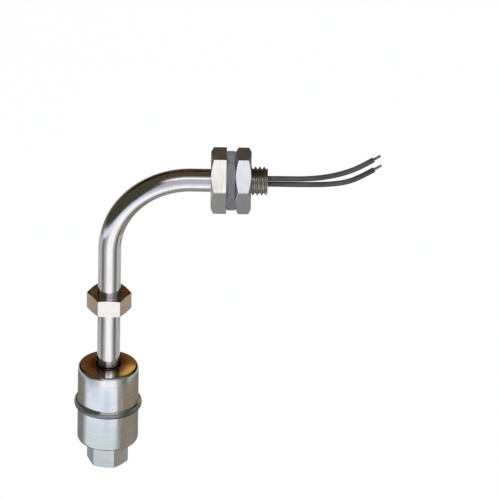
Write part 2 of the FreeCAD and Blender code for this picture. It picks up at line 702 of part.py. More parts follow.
def cord_path(points):
    """Straight runs joined by tangent arcs, and the arcs' radii."""
    edges = []
    radii = []
    start = points[0]
    for before, corner, after in zip(points, points[1:], points[2:]):
        radius = corner_radius(before, corner, after)
        way_in = (corner - before).normalize()
        way_out = (after - corner).normalize()
        half_turn = way_in.getAngle(way_out) / 2
        reach = radius * math.tan(half_turn)
        first = corner - way_in * reach
        last = corner + way_out * reach
        towards = (way_out - way_in).normalize()
        middle = corner + towards * (radius / math.cos(half_turn) - radius)
        edges.append(Part.LineSegment(start, first).toShape())
        edges.append(Part.Arc(first, middle, last).toShape())
        radii.append(radius)
        start = last
    edges.append(Part.LineSegment(start, points[-1]).toShape())
    return Part.Wire(edges), radii


def make_free_lead(label, side):
    """One free lead and its bare end. side is 1 for the upper lead and -1 for the lower."""
    base = V(size(THREAD_END), 0, side * size(LEAD_AXIS))
    points = [base + V(*step) for step in LEAD_ROUTES[label]]
    path, radii = cord_path(points)
    radius = size("lead_dia") / 2
    section = Part.Wire([Part.Circle(points[0], points[1] - points[0], radius).toShape()])
    tube = path.makePipeShell([section], True, False)
    expected = math.pi * radius**2 * path.Length
    print(f"{label}: length {path.Length:.1f} mm, radii", [round(r, 1) for r in radii])
    print(f"{label}: volume over section times length {tube.Volume / expected:.4f}")
    lead = doc.addObject("Part::Feature", label)
    lead.Label = label
    lead.Shape = tube
    way = (points[-1] - points[-2]).normalize()
    bare = doc.addObject("Part::Feature", f"{label}_tip")
    bare.Label = f"{label}_tip"
    bare.Shape = Part.makeCylinder(size("tip_dia") / 2, size("tip_length"), points[-1], way)
    print(f"{label}: bare end from", [round(c, 4) for c in points[-1]], "along", [round(c, 6) for c in way])
    return [lead, bare]


# -----------------------------------------------------------------------------------------------------------
# The whole switch
# -----------------------------------------------------------------------------------------------------------
pieces = [
    make_stem_tube(),
    make_mounting_fitting(),
    make_sealing_gasket(),
    make_mounting_nut(),
    make_upper_stop(),
    make_upper_stop_screw(),
    make_lower_stop_cap(),
    make_float_shell("float_upper_shell", "+", "float_top_round"),
    make_float_shell("float_lower_shell", "-", "float_bottom_round"),
    make_weld_band(),
    *make_float_fillings(),
    make_reed_glass(),
    make_reed_blade("reed_blade_upper", 1),
    make_reed_blade("reed_blade_lower", -1),
    make_reed_board(),
    make_solder_joints(),
    make_insulating_sleeve(),
    *make_inner_leads(),
    make_potting_plug(),
    *make_free_lead("lead_a", 1),
    *make_free_lead("lead_b", -1),
]

doc.recompute()
for item in doc.Objects:
    if "Invalid" in item.State or "Error" in item.State:
        raise RuntimeError(f"{item.Label} failed: {item.State}")
for piece in pieces:
    if piece.Shape.isNull() or not piece.Shape.isValid():
        raise RuntimeError(f"{piece.Label} has no valid shape")

os.makedirs("parts", exist_ok=True)
for piece in pieces:
    piece.Shape.exportStep(f"parts/{piece.Label}.step")
    box = piece.Shape.BoundBox
    print(
        f"{piece.Label:20s} solids {len(piece.Shape.Solids)} volume {piece.Shape.Volume:9.2f}"
        f"  x {box.XMin:7.2f} {box.XMax:7.2f}  y {box.YMin:7.2f} {box.YMax:7.2f}"
        f"  z {box.ZMin:8.2f} {box.ZMax:8.2f}"
    )
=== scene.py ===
# %% [markdown]
# # A float level switch with a right-angle stem
# A tank switch of polished stainless steel: a bent tube carries a float between two stops, and a threaded
# fitting holds it in the tank's wall. The solid model gives every place and most sizes. This script gives the
# surfaces, the finishes, the thread's helix and the leads.

# %% Load the solid model
import math

import bmesh
import bpy
import numpy as np
from mathutils import Matrix, Vector


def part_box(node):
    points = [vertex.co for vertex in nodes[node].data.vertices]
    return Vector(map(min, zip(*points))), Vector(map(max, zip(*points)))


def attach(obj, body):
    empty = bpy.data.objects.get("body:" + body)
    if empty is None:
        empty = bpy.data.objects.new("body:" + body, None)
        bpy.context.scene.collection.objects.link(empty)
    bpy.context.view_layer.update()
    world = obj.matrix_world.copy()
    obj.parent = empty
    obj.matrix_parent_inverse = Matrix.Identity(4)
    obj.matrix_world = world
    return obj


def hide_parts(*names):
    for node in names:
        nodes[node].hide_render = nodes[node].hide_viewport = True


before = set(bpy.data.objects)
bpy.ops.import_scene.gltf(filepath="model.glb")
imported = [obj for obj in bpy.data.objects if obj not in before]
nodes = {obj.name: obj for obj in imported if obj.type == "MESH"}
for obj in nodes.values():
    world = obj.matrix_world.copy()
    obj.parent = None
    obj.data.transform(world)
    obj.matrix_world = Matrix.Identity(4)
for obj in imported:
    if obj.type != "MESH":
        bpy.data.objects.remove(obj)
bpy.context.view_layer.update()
MM = 0.001

# %% [markdown]
# ## The camera
# A product shot is taken from far away with a long lens, so that parallel edges stay parallel. The camera
# looks along +Y and down by 30 degrees, and it is turned by about a degree round its own line of sight.

# %% Camera
AIM = Vector((6.4, 0.0, -32.6)) * MM
VIEW_WIDTH = 205.0 * MM
VIEW_DISTANCE = 8.0
VIEW_ELEVATION = math.radians(30)
VIEW_ROLL = math.radians(0.9)
SENSOR_WIDTH = 36.0

camera_data = bpy.data.cameras.new("view_camera")
camera_data.sensor_width = SENSOR_WIDTH
camera_data.lens = SENSOR_WIDTH * VIEW_DISTANCE / VIEW_WIDTH
camera_data.clip_end = 100.0
camera = bpy.data.objects.new("view_camera", camera_data)
bpy.context.scene.collection.objects.link(camera)
back_off = Vector((0.0, -math.cos(VIEW_ELEVATION), math.sin(VIEW_ELEVATION))) * VIEW_DISTANCE
look_down = Matrix.Rotation(math.pi / 2 - VIEW_ELEVATION, 4, "X")
camera.matrix_world = Matrix.Translation(AIM + back_off) @ look_down @ Matrix.Rotation(VIEW_ROLL, 4, "Z")
bpy.context.scene.camera = camera
print("lens", round(camera_data.lens, 1), "mm")

# %% [markdown]
# ## Places
# Places come from the solid model's boxes, so a piece lands where its solid is. Sizes that no box shows, such
# as the bend's radius or the tube's wall, repeat the solid model's own values.


# %% Places read from the solid model
def low(node):
    return np.array(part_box(node)[0])


def high(node):
    return np.array(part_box(node)[1])


def middle(node):
    return (low(node) + high(node)) / 2


STEM_X = middle("reed_glass")[0]
TUBE_RADIUS = (high("stem_tube")[1] - low("stem_tube")[1]) / 2
ARM_END = high("stem_tube")[0]
STEM_END = low("stem_tube")[2]
BEND = 33.0 * MM
TUBE_WALL = 0.9 * MM
STEM_AXIS = (STEM_X, 0, 0)
ARM_AXIS = (0, 0, 0)
print("stem at x", round(STEM_X / MM, 2), "mm, tube radius", round(TUBE_RADIUS / MM, 2), "mm")

# %% [markdown]
# ## Surfaces by formula
# A turned piece is an outline, a list of corners (radius, height), carried round an axis. Real edges are
# never sharp, so each corner is cut back along both of its sides and bridged by a circular arc. A hexagon is
# the same idea with a radius that changes round the axis, which lets the lathe's chamfer cross its flats in
# true curves.

# %% Outlines with rounded corners
LONGEST_CUT = 0.45  # of a side, so that the arcs at its two ends never meet


def rounded(corners, reach, steps=5):
    """Replace each corner P of a closed outline by an arc. A and B lie on the two sides of P at the distance
    reach, at most LONGEST_CUT of the side. The arc is the rational curve
    ((1-t)^2 A + 2w t(1-t) P + t^2 B) / ((1-t)^2 + 2w t(1-t) + t^2), where w is the cosine of half the turn.
    corners: (corner, angle, 2) array."""
    before = np.roll(corners, 1, axis=0) - corners
    after = np.roll(corners, -1, axis=0) - corners
    length_before = np.linalg.norm(before, axis=2, keepdims=True) + 1e-12
    length_after = np.linalg.norm(after, axis=2, keepdims=True) + 1e-12
    cut = np.asarray(reach, float).reshape(-1, 1, 1)
    cut = np.minimum(cut, LONGEST_CUT * np.minimum(length_before, length_after))
    a = corners + before / length_before * cut
    b = corners + after / length_after * cut
    cosine = np.sum(before * after, axis=2, keepdims=True) / (length_before * length_after)
    weight = np.sqrt(np.clip((1 - cosine) / 2, 0, 1))
    t = np.linspace(0, 1, steps).reshape(1, -1, 1, 1)
    a, b, p, w = (item[:, None] for item in (a, b, corners, weight))
    top = (1 - t) ** 2 * a + 2 * w * t * (1 - t) * p + t**2 * b
    bottom = (1 - t) ** 2 + 2 * w * t * (1 - t) + t**2
    return (top / bottom).reshape(-1, corners.shape[1], 2)


def around(count):
    """Evenly spaced angles of a full turn."""
    return np.linspace(0, 2 * np.pi, count, endpoint=False)


def ring_outline(corners, angles):
    """The same outline at every angle."""
    return np.repeat(np.array(corners, float)[:, None, :], len(angles), axis=1)


# %% Meshes from grids of points
MERGE_WITHIN = 1e-7


def grid_mesh(name, points, close_rows=True, close_columns=True, crease=35.0):
    """Join a (row, column, 3) grid of points by quads. The faces point outwards when the enclosed volume, the
    sum of p0 . (p1 x p2) / 6 over the triangles, comes out positive. Edges over the crease angle stay sharp,
    and normals lean towards the larger face beside an edge, so long walls reflect evenly up to their
    rounding."""
    rows, columns = points.shape[:2]
    row = np.arange(rows if close_rows else rows - 1)
    column = np.arange(columns if close_columns else columns - 1)
    r, c = np.meshgrid(row, column, indexing="ij")
    r2, c2 = (r + 1) % rows, (c + 1) % columns
    quads = np.stack([r * columns + c, r * columns + c2, r2 * columns + c2, r2 * columns + c], axis=-1)
    quads = quads.reshape(-1, 4)
    flat = points.reshape(-1, 3)
    p = [flat[quads[:, k]] for k in range(4)]
    volume = np.sum(p[0] * np.cross(p[1], p[2])) + np.sum(p[0] * np.cross(p[2], p[3]))
    if volume < 0:
        quads = quads[:, ::-1]
    mesh = bpy.data.meshes.new(name)
    mesh.from_pydata(flat.tolist(), [], quads.tolist())
    seal = bmesh.new()
    seal.from_mesh(mesh)
    bmesh.ops.remove_doubles(seal, verts=seal.verts, dist=MERGE_WITHIN)
    seal.to_mesh(mesh)
    seal.free()
    mesh.shade_smooth()
    mesh.set_sharp_from_angle(angle=math.radians(crease))
    piece = bpy.data.objects.new(name, mesh)
    bpy.context.scene.collection.objects.link(piece)
    even = piece.modifiers.new("even_normals", "WEIGHTED_NORMAL")
    even.keep_sharp = True
    return piece


def turned(name, outline, angles, centre, axis="Z", closed=True):
    """Carry an outline (point, angle, (radius, height)) round an axis: about Z the point is
    (r cos a, r sin a, h), about X it is (h, r cos a, r sin a), and centre is added."""
    radius, height = outline[..., 0], outline[..., 1]
    first = radius * np.cos(angles)
    second = radius * np.sin(angles)
    order = (first, second, height) if axis == "Z" else (height, first, second)
    return grid_mesh(name, np.stack(order, axis=-1) + np.array(centre), close_rows=closed)


def finish_piece(piece, body, slot_name, material, *replaced):
    """Ride on a body, stand for CAD nodes and take a material. slot_name is not used."""
    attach(piece, body)
    if replaced:
        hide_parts(*replaced)
    piece.data.materials.clear()
    piece.data.materials.append(material)
    print(piece.name, "rides on", body)
    return piece


# %% [markdown]
# ## Shader helpers
# Node trees get long, so small helpers add a node, set its inputs, join its sockets, and start a group or a
# material.


# %% Shader helpers: nodes
def add_node(tree, kind, inputs=None, **settings):
    """Add a node, set its properties, then its inputs: a socket is linked, anything else is a value."""
    node = tree.nodes.new(kind)
    for key, setting in settings.items():
        setattr(node, key, setting)
    for key, source in (inputs or {}).items():
        if isinstance(source, bpy.types.NodeSocket):
            tree.links.new(source, node.inputs[key])
        else:
            node.inputs[key].default_value = source
    return node


def calculate(tree, operation, first, second=0.0):
    """One Math node, given by its operation and its one or two inputs."""
    return add_node(tree, "ShaderNodeMath", {0: first, 1: second}, operation=operation).outputs[0]


def vector_math(tree, operation, first, second=(0.0, 0.0, 0.0)):
    """One Vector Math node, given by its operation and its one or two vectors."""
    inputs = {0: first, 1: second}
    return add_node(tree, "ShaderNodeVectorMath", inputs, operation=operation).outputs


def map_range(tree, value, start=0.0, end=1.0, low=0.0, high=1.0, shape="LINEAR"):
    """Move a value from the range start to end into the range low to high, held at both ends."""
    inputs = {"Value": value, "From Min": start, "From Max": end, "To Min": low, "To Max": high}
    return add_node(tree, "ShaderNodeMapRange", inputs, interpolation_type=shape).outputs["Result"]


def noise(tree, vector, scale, detail, **more):
    """A noise texture's value. more: other inputs of the node by name."""
    inputs = {"Vector": vector, "Scale": scale, "Detail": detail, **more}
    return add_node(tree, "ShaderNodeTexNoise", inputs).outputs["Fac"]


def blend_colours(tree, factor, first, second):
    """Mix two colours, each a socket or an (r, g, b) value."""
    node = tree.nodes.new("ShaderNodeMix")
    node.data_type = "RGBA"
    for key, source in (("Factor", factor), ("A", first), ("B", second)):
        kind = "VALUE" if key == "Factor" else "RGBA"
        socket = [item for item in node.inputs if item.name == key and item.type == kind][0]
        if isinstance(source, bpy.types.NodeSocket):
            tree.links.new(source, socket)
        else:
            socket.default_value = source if key == "Factor" else (*source, 1.0)
    return [item for item in node.outputs if item.type == "RGBA"][0]


# %% Shader helpers: groups and materials
def new_group(name, inputs, outputs):
    """An empty shader group. inputs and outputs: (name, socket type, default)."""
    group = bpy.data.node_groups.new(name, "ShaderNodeTree")
    for direction, sockets in (("INPUT", inputs), ("OUTPUT", outputs)):
        for label, kind, default in sockets:
            socket = group.interface.new_socket(label, in_out=direction, socket_type=f"NodeSocket{kind}")
            if default is not None:
                socket.default_value = default
    entry = group.nodes.new("NodeGroupInput")
    leave = group.nodes.new("NodeGroupOutput")
    return group, entry.outputs, leave.inputs


def effect(tree, group, **inputs):
    """Place a shared effect, set its named inputs and return its outputs."""
    return add_node(tree, "ShaderNodeGroup", inputs, node_tree=group).outputs


def new_material(name):
    """A material with its own Principled shader, and the piece's Object coordinates."""
    material = bpy.data.materials.new(name)
    material.use_nodes = True
    tree = material.node_tree
    shader = tree.nodes["Principled BSDF"]
    place = tree.nodes.new("ShaderNodeTexCoord").outputs["Object"]
    return material, tree, shader, place


def set_surface(tree, shader, colour, roughness, metallic, height, depth):
    """Feed a Principled shader: colour and roughness from sockets, and a bump of a depth in metres."""
    tree.links.new(colour, shader.inputs["Base Color"])
    tree.links.new(roughness, shader.inputs["Roughness"])
    shader.inputs["Metallic"].default_value = metallic
    bump = add_node(tree, "ShaderNodeBump", {"Height": height, "Strength": 1.0, "Distance": depth})
    tree.links.new(bump.outputs["Normal"], shader.inputs["Normal"])


# %% [markdown]
# ## Shared effects
# **Polishing marks**: a belt or wheel leaves fine parallel scratches. A noise stretched hard across one
# direction gives them. **Smudges**: handling leaves soft clouds where the metal is a little duller.
# ** Grain**: moulded rubber, sleeving and cast surfaces have a fine even grit. **Sleeve ring tint**: a ring of
# colour round the stem's axis, strongest near it and fading outwards. Here it lies on one face only, the one
# above a given height.

# %% Group: polishing marks
BROAD_SHARE = 0.22  # scale of the broad marks against the fine ones
polishing_marks, given, out = new_group(
    "polishing_marks",
    [("Vector", "Vector", None), ("Stretch", "Vector", (1, 1, 60)), ("Scale", "Float", 400.0)],
    [("Height", "Float", None), ("Mask", "Float", None)],
)
tree = polishing_marks
stretched = vector_math(tree, "MULTIPLY", given["Vector"], given["Stretch"])[0]
fine = noise(tree, stretched, given["Scale"], 3.0, Roughness=0.6)
broad = noise(tree, stretched, calculate(tree, "MULTIPLY", given["Scale"], BROAD_SHARE), 1.0)
tree.links.new(fine, out["Height"])
tree.links.new(calculate(tree, "MULTIPLY", fine, broad), out["Mask"])

# %% Group: smudges
CLOUD_RANGE = (0.4, 0.68)
smudges, given, out = new_group(
    "smudges",
    [("Vector", "Vector", None), ("Scale", "Float", 60.0), ("Clean", "Float", 0.1), ("Dull", "Float", 0.2)],
    [("Mask", "Float", None), ("Roughness", "Float", None)],
)
tree = smudges
cloud = noise(tree, given["Vector"], given["Scale"], 4.0, Roughness=0.55, Distortion=0.6)
shaped = map_range(tree, cloud, *CLOUD_RANGE)
tree.links.new(shaped, out["Mask"])
tree.links.new(map_range(tree, shaped, low=given["Clean"], high=given["Dull"]), out["Roughness"])

# %% Group: grain
PATCH_SHARE = 0.12  # scale of the soft clouds against the grit
grain, given, out = new_group(
    "grain",
    [("Vector", "Vector", None), ("Scale", "Float", 900.0)],
    [("Height", "Float", None), ("Cloud", "Float", None)],
)
tree = grain
patch_scale = calculate(tree, "MULTIPLY", given["Scale"], PATCH_SHARE)
tree.links.new(noise(tree, given["Vector"], given["Scale"], 2.0), out["Height"])
tree.links.new(noise(tree, given["Vector"], patch_scale, 3.0), out["Cloud"])

# %% Group: sleeve ring tint
sleeve_ring_tint, given, out = new_group(
    "sleeve_ring_tint",
    [("Vector", "Vector", None), ("Near", "Float", 0.006), ("Far", "Float", 0.011), ("Above", "Float", 0.0)],
    [("Mask", "Float", None)],
)
tree = sleeve_ring_tint
offset = vector_math(tree, "SUBTRACT", given["Vector"], STEM_AXIS)[0]
level_only = vector_math(tree, "MULTIPLY", offset, (1.0, 1.0, 0.0))[0]
reach = vector_math(tree, "LENGTH", level_only)["Value"]
fade = map_range(tree, reach, given["Far"], given["Near"], shape="SMOOTHSTEP")
height = add_node(tree, "ShaderNodeSeparateXYZ", {0: given["Vector"]}).outputs["Z"]
is_above = calculate(tree, "GREATER_THAN", height, given["Above"])
tree.links.new(calculate(tree, "MULTIPLY", fade, is_above), out["Mask"])
print("shared effects:", ", ".join(shared.name for shared in bpy.data.node_groups))

# %% [markdown]
# ## Steel finishes
# Polished stainless steel is a metal with a pale, slightly warm colour and a low roughness. What makes it
# look real is what breaks the mirror: fine marks along the polishing direction and soft smudges. The turned
# pieces are a little duller than the buffed tube and float.

# %% Steel
SMUDGE_SCALE = 90.0
MARKS_RANGE = (0.12, 0.42)
TINT_NEAR, TINT_FAR = 5.6 * MM, 10.5 * MM
TINT_ABOVE = high("float_upper_shell")[2] - MM


def steel(name, colour, clean, dull, stretch, marks, depth, shade=0.88, ring_colour=None):
    """Stainless steel. Smudges move the roughness between clean and dull, and polishing marks give the bump
    and darken the colour down to its shade. With a ring colour, the top of the float turns to that colour in
    a ring round the sleeve, strongest near it and fading outwards."""
    material, tree, shader, place = new_material(name)
    soft = effect(tree, smudges, Vector=place, Scale=SMUDGE_SCALE, Clean=clean, Dull=dull)
    lines = effect(tree, polishing_marks, Vector=place, Stretch=stretch, Scale=marks)
    darker = tuple(shade * part for part in colour)
    tint = blend_colours(tree, map_range(tree, lines["Mask"], *MARKS_RANGE), darker, colour)
    if ring_colour:
        heat = effect(tree, sleeve_ring_tint, Vector=place, Near=TINT_NEAR, Far=TINT_FAR, Above=TINT_ABOVE)
        tint = blend_colours(tree, heat["Mask"], tint, ring_colour)
    set_surface(tree, shader, tint, soft["Roughness"], 1.0, lines["Height"], depth)
    return material


# %% Steel finishes
ALONG_TUBE = (40, 40, 3)
ROUND_ARM = (60, 4, 4)
ROUND_STEM = (4, 4, 60)
ROUND_FLOAT = (3, 3, 50)
BUFFED = ((0.91, 0.91, 0.91), 0.08, 0.18, ROUND_FLOAT, 110.0, 2e-6)

tube_steel = steel("polished_tube_steel", (0.90, 0.89, 0.88), 0.10, 0.20, ALONG_TUBE, 120.0, 2e-6)
turned_steel = steel("turned_hexagon_steel", (0.86, 0.85, 0.83), 0.16, 0.27, ROUND_ARM, 150.0, 4e-6)
stop_steel = steel("turned_stop_steel", (0.87, 0.86, 0.84), 0.14, 0.25, ROUND_STEM, 150.0, 4e-6)
float_steel = steel("buffed_float_steel", *BUFFED)
# the float's top turns brown in a ring round the sleeve, and the sleeve's end above the float is dark brown
tinted_float_steel = steel("tinted_float_steel", *BUFFED, ring_colour=(0.26, 0.20, 0.15))
sleeve_steel = steel("darkened_sleeve_steel", (0.15, 0.125, 0.11), 0.22, 0.34, ROUND_FLOAT, 140.0, 3e-6)
thread_steel = steel("thread_steel", (0.60, 0.59, 0.51), 0.22, 0.36, ROUND_ARM, 200.0, 4e-6, 0.7)
nut_steel = steel("nut_steel", (0.76, 0.80, 0.86), 0.16, 0.27, ROUND_ARM, 150.0, 4e-6)
weld_steel = steel("weld_steel", (0.30, 0.31, 0.31), 0.24, 0.38, (4, 4, 30), 160.0, 5e-6, 0.75)

# %% [markdown]
# ## Other finishes
# The gasket is satin grey nitrile rubber with a fine grit and paler dust on it. The leads are dark grey PVC.
# Their bare ends are tinned copper. The pieces that only a cut through the switch would show get plain but
# true finishes too: green glass, a fibre board, dull solder, dark ferrite and milky sleeving.

# %% Rubber, plastic and the inner pieces
PATCH_RANGE = (0.35, 0.7)


def grained(name, dark, light, roughness, scale, depth, metallic=0.0, spread=0.12):
    """A surface with fine grit in its bump and soft clouds in its colour and roughness."""
    material, tree, shader, place = new_material(name)
    grit = effect(tree, grain, Vector=place, Scale=scale)
    colour = blend_colours(tree, map_range(tree, grit["Cloud"], *PATCH_RANGE), dark, light)
    rough = map_range(tree, grit["Cloud"], low=roughness - spread, high=roughness + spread)
    set_surface(tree, shader, colour, rough, metallic, grit["Height"], depth)
    return material


# %% Finishes without polish
gasket_rubber = grained("gasket_rubber", (0.125, 0.126, 0.148), (0.19, 0.187, 0.205), 0.52, 1400.0, 3e-5)
lead_jacket = grained("lead_jacket", (0.044, 0.044, 0.047), (0.072, 0.072, 0.075), 0.42, 1100.0, 1e-5)
potting_resin = grained("potting_resin", (0.02, 0.02, 0.022), (0.045, 0.043, 0.042), 0.38, 700.0, 2e-5)
tinned_wire = grained("tinned_wire", (0.55, 0.54, 0.52), (0.80, 0.79, 0.76), 0.32, 1600.0, 5e-6, 1.0)
dull_solder = grained("dull_solder", (0.42, 0.42, 0.41), (0.62, 0.62, 0.60), 0.45, 900.0, 1e-5, 1.0)
dark_ferrite = grained("dark_ferrite", (0.035, 0.034, 0.036), (0.07, 0.068, 0.07), 0.6, 900.0, 1e-5)
fibre_board = grained("fibre_board", (0.03, 0.13, 0.05), (0.06, 0.21, 0.09), 0.45, 1500.0, 5e-6)
milky_sleeving = grained("milky_sleeving", (0.55, 0.53, 0.46), (0.70, 0.68, 0.60), 0.42, 800.0, 5e-6)
reed_metal = grained("reed_metal", (0.55, 0.53, 0.50), (0.70, 0.68, 0.64), 0.30, 1200.0, 3e-6, 1.0)
clip_steel = grained("clip_steel", (0.45, 0.45, 0.45), (0.60, 0.60, 0.59), 0.36, 900.0, 4e-6, 1.0)
screw_steel = grained("screw_steel", (0.22, 0.22, 0.23), (0.34, 0.34, 0.35), 0.40, 1100.0, 6e-6, 1.0)
green_glass = grained("green_glass", (0.45, 0.60, 0.40), (0.60, 0.75, 0.55), 0.14, 500.0, 2e-6, 0.0, 0.05)
green_glass.node_tree.nodes["Principled BSDF"].inputs["Transmission Weight"].default_value = 0.9
print(len(bpy.data.materials), "materials")

# %% [markdown]
# ## Bent tube
# The tube is drawn, bent round a former and polished. Its centreline is a straight stem, a quarter of a
# circle and a straight arm. A ring of points carried along that line gives the outside, and a smaller ring
# carried back gives the bore, so the tube is one closed skin with real ends.

# %% Tube: centreline
STEM_STATIONS, BEND_STATIONS, ARM_STATIONS = 40, 48, 12
SIDEWAYS = np.array([0.0, 1.0, 0.0])


def tube_line():
    """Centres and outward directions along stem, bend and arm: up the stem, then
    (x, z) = centre + BEND (-cos a, sin a) for a from 0 to 90 degrees, then out along the arm."""
    turn = np.linspace(0, np.pi / 2, BEND_STATIONS)
    stem = np.linspace(STEM_END, -BEND, STEM_STATIONS)[:-1]
    arm = np.linspace(STEM_X + BEND, ARM_END, ARM_STATIONS)[1:]
    x = np.concatenate([np.full(len(stem), STEM_X), STEM_X + BEND * (1 - np.cos(turn)), arm])
    z = np.concatenate([stem, -BEND + BEND * np.sin(turn), np.zeros(len(arm))])
    angle = np.concatenate([np.zeros(len(stem)), turn, np.full(len(arm), np.pi / 2)])
    centres = np.stack([x, np.zeros(len(x)), z], axis=1)
    outward = np.stack([-np.cos(angle), np.zeros(len(x)), np.sin(angle)], axis=1)
    return centres, outward


def ring_at(centres, first, second, radius, angles):
    """Rings of points: centre + radius (first cos a + second sin a), with one radius for each station."""
    first, second = (np.broadcast_to(way, centres.shape)[:, None] for way in (first, second))
    turn = angles[None, :, None]
    across = first * np.cos(turn) + second * np.sin(turn)
    return centres[:, None] + np.asarray(radius).reshape(-1, 1, 1) * across


# %% Tube: surface
centres, outward = tube_line()
tube_angles = around(72)
edge_break = 0.25 * MM
outer_radius = np.full(len(centres), TUBE_RADIUS)
outer_radius[[0, -1]] -= edge_break
inner_radius = np.full(len(centres), TUBE_RADIUS - TUBE_WALL)
outside = ring_at(centres, outward, SIDEWAYS, outer_radius, tube_angles)
inside = ring_at(centres[::-1], outward[::-1], SIDEWAYS, inner_radius, tube_angles)
tube = grid_mesh("bent_tube", np.concatenate([outside, inside]))
finish_piece(tube, "stem", "steel", tube_steel, "stem_tube")

# %% [markdown]
# ## Hexagons
# Flange, nut and stops are cut from hexagonal bar and then faced on a lathe, which leaves a cone over the
# corners. Round the axis, a hexagon's radius is apothem / cos(angle from the flat's middle), and near a
# corner it follows a small circle that touches both flats. Where the cone and the flats meet, the height is
# the end face minus (radius - start of the cone) tan(slope), so the crossing is a true curve. The slope is 30
# degrees on flange and nut, and 15 on the cap.

# %% Hexagon surfaces
CHAMFER_INSET = 0.16 * MM
CHAMFER_SLOPE = math.radians(30)
CAP_SLOPE = math.radians(15)
EDGE_ROUND = 0.35 * MM
CORNER_HALF = math.radians(1.9)


def hexagon_angles(turn, per_flat, per_corner=8):
    """Angles round a hexagon, denser at its rounded corners. turn: the direction of one flat's middle."""
    flat = np.linspace(-np.pi / 6 + CORNER_HALF, np.pi / 6 - CORNER_HALF, per_flat)
    corner = np.linspace(np.pi / 6 - CORNER_HALF, np.pi / 6 + CORNER_HALF, per_corner + 2)[1:-1]
    sector = np.concatenate([flat, corner])
    return np.concatenate([sector + k * np.pi / 3 for k in range(6)]) + turn


def hexagon_radius(angles, flats, turn):
    """Distance from the axis to the hexagon. Within the corner's reach it is
    c cos p + sqrt(q^2 - c^2 sin^2 p), where q is the corner's radius, p the angle from the corner and c the
    distance to its arc's centre."""
    apothem = flats / 2
    local = (angles - turn + np.pi / 6) % (np.pi / 3) - np.pi / 6
    radius = apothem / np.cos(local)
    off_corner = np.pi / 6 - np.abs(local)
    centre = (apothem - EDGE_ROUND) / math.cos(math.pi / 6)
    reach = math.atan2(EDGE_ROUND * math.sin(math.pi / 6), centre + EDGE_ROUND * math.cos(math.pi / 6))
    inside_root = np.clip(EDGE_ROUND**2 - (centre * np.sin(off_corner)) ** 2, 0, None)
    rounded_radius = centre * np.cos(off_corner) + np.sqrt(inside_root)
    return np.where(off_corner < reach, rounded_radius, radius)


def chamfered_wall(wall, flats, start, end, high_cone=True, slope=CHAMFER_SLOPE):
    """Corners of a hexagonal wall from the height start to end: the cone's first circle, the line where the
    cone leaves the flats, and the same at the other end, where a square edge can take the cone's place."""
    begin = flats / 2 - CHAMFER_INSET
    drop = (wall - begin) * math.tan(slope)
    low_side = [(begin, start), (wall, start + drop)]
    high_side = [(wall, end - drop), (begin, end)] if high_cone else [(wall, end)]
    return low_side + high_side


def stack_outline(pairs, count):
    """Corners given as (radius, height), each a number or an array over the angles, as one array."""
    rows = [np.stack(np.broadcast_arrays(*pair, np.zeros(count))[:2], axis=-1) for pair in pairs]
    return np.stack(rows)


# %% [markdown]
# ## Mounting fitting
# One piece: hexagonal flange, undercut, thread and bore. The thread's depth goes through one cycle in each
# pitch and moves on by a pitch in each turn, so its phase is height / pitch - angle / 360 degrees. That is a
# right-hand helix. The crests are kept just inside the solid's cylinder, and the grooves run out at the
# lead-in chamfer.

# %% Fitting: measures
THREAD_RADIUS = 5.98 * MM
FLANGE_FLATS = 24.0 * MM
SOCKET_CLEARANCE, SOCKET_GAP = 0.05 * MM, 0.3 * MM
SOCKET_RADIUS = TUBE_RADIUS + SOCKET_CLEARANCE
WIRE_BORE = 3.5 * MM
RELIEF_WIDTH, RELIEF_RADIUS = 2.4 * MM, 4.9 * MM
FLANGE_TURN = math.radians(142)
flange_start = low("mounting_fitting")[0]
flange_end = low("sealing_gasket")[0]
thread_end = high("mounting_fitting")[0]
relief_end = flange_end + RELIEF_WIDTH
arm_socket_floor = ARM_END + SOCKET_GAP

fitting_angles = np.sort(hexagon_angles(FLANGE_TURN, per_flat=14) % (2 * np.pi))
wall = hexagon_radius(fitting_angles, FLANGE_FLATS, FLANGE_TURN)
count = len(fitting_angles)
print("fitting from x", round(flange_start / MM, 2), "to", round(thread_end / MM, 2), "mm")

# %% Fitting: thread
PITCH = 1.75 * MM
THREAD_DEPTH = 0.95 * MM
CREST_SHARE, FLANK_SHARE = 0.14, 0.62
LEAD_IN = 0.9 * MM


def thread_profile(height, angles):
    """Radius of a 60 degree thread: crest, flank, root and flank over one pitch, never above the cones that
    lead in at its end and out of the undercut."""
    phase = (height[:, None] / PITCH - angles[None, :] / (2 * np.pi)) % 1.0
    depth = np.clip((np.abs(phase - 0.5) * 2 - CREST_SHARE) / FLANK_SHARE, 0, 1)
    radius = THREAD_RADIUS - THREAD_DEPTH * depth
    lead_in = THREAD_RADIUS - np.clip(height - (thread_end - LEAD_IN), 0, None)
    run_in = RELIEF_RADIUS + np.clip(height - relief_end, 0, None)
    return np.minimum(radius, np.minimum(lead_in, run_in)[:, None])


thread_heights = np.linspace(relief_end, thread_end, 132)
thread_radii = thread_profile(thread_heights, fitting_angles)
thread_part = np.stack(np.broadcast_arrays(thread_radii, thread_heights[:, None]), axis=-1)

# %% Fitting: surface
back_part = stack_outline(
    [(WIRE_BORE, thread_end), (WIRE_BORE, arm_socket_floor), (SOCKET_RADIUS, arm_socket_floor),
     (SOCKET_RADIUS, flange_start)]
    + chamfered_wall(wall, FLANGE_FLATS, flange_start, flange_end, high_cone=False)
    + [(RELIEF_RADIUS, flange_end), (RELIEF_RADIUS, relief_end)],
    count,
)
back_reach = np.array([0.2, 0, 0, 0.15, 0.2, 0.2, 0.2, 0.3, 0]) * MM
fitting_outline = np.concatenate([rounded(back_part, back_reach, 4), thread_part])
fitting = turned("threaded_fitting", fitting_outline, fitting_angles, ARM_AXIS, "X")
finish_piece(fitting, "stem", "steel", turned_steel, "mounting_fitting")

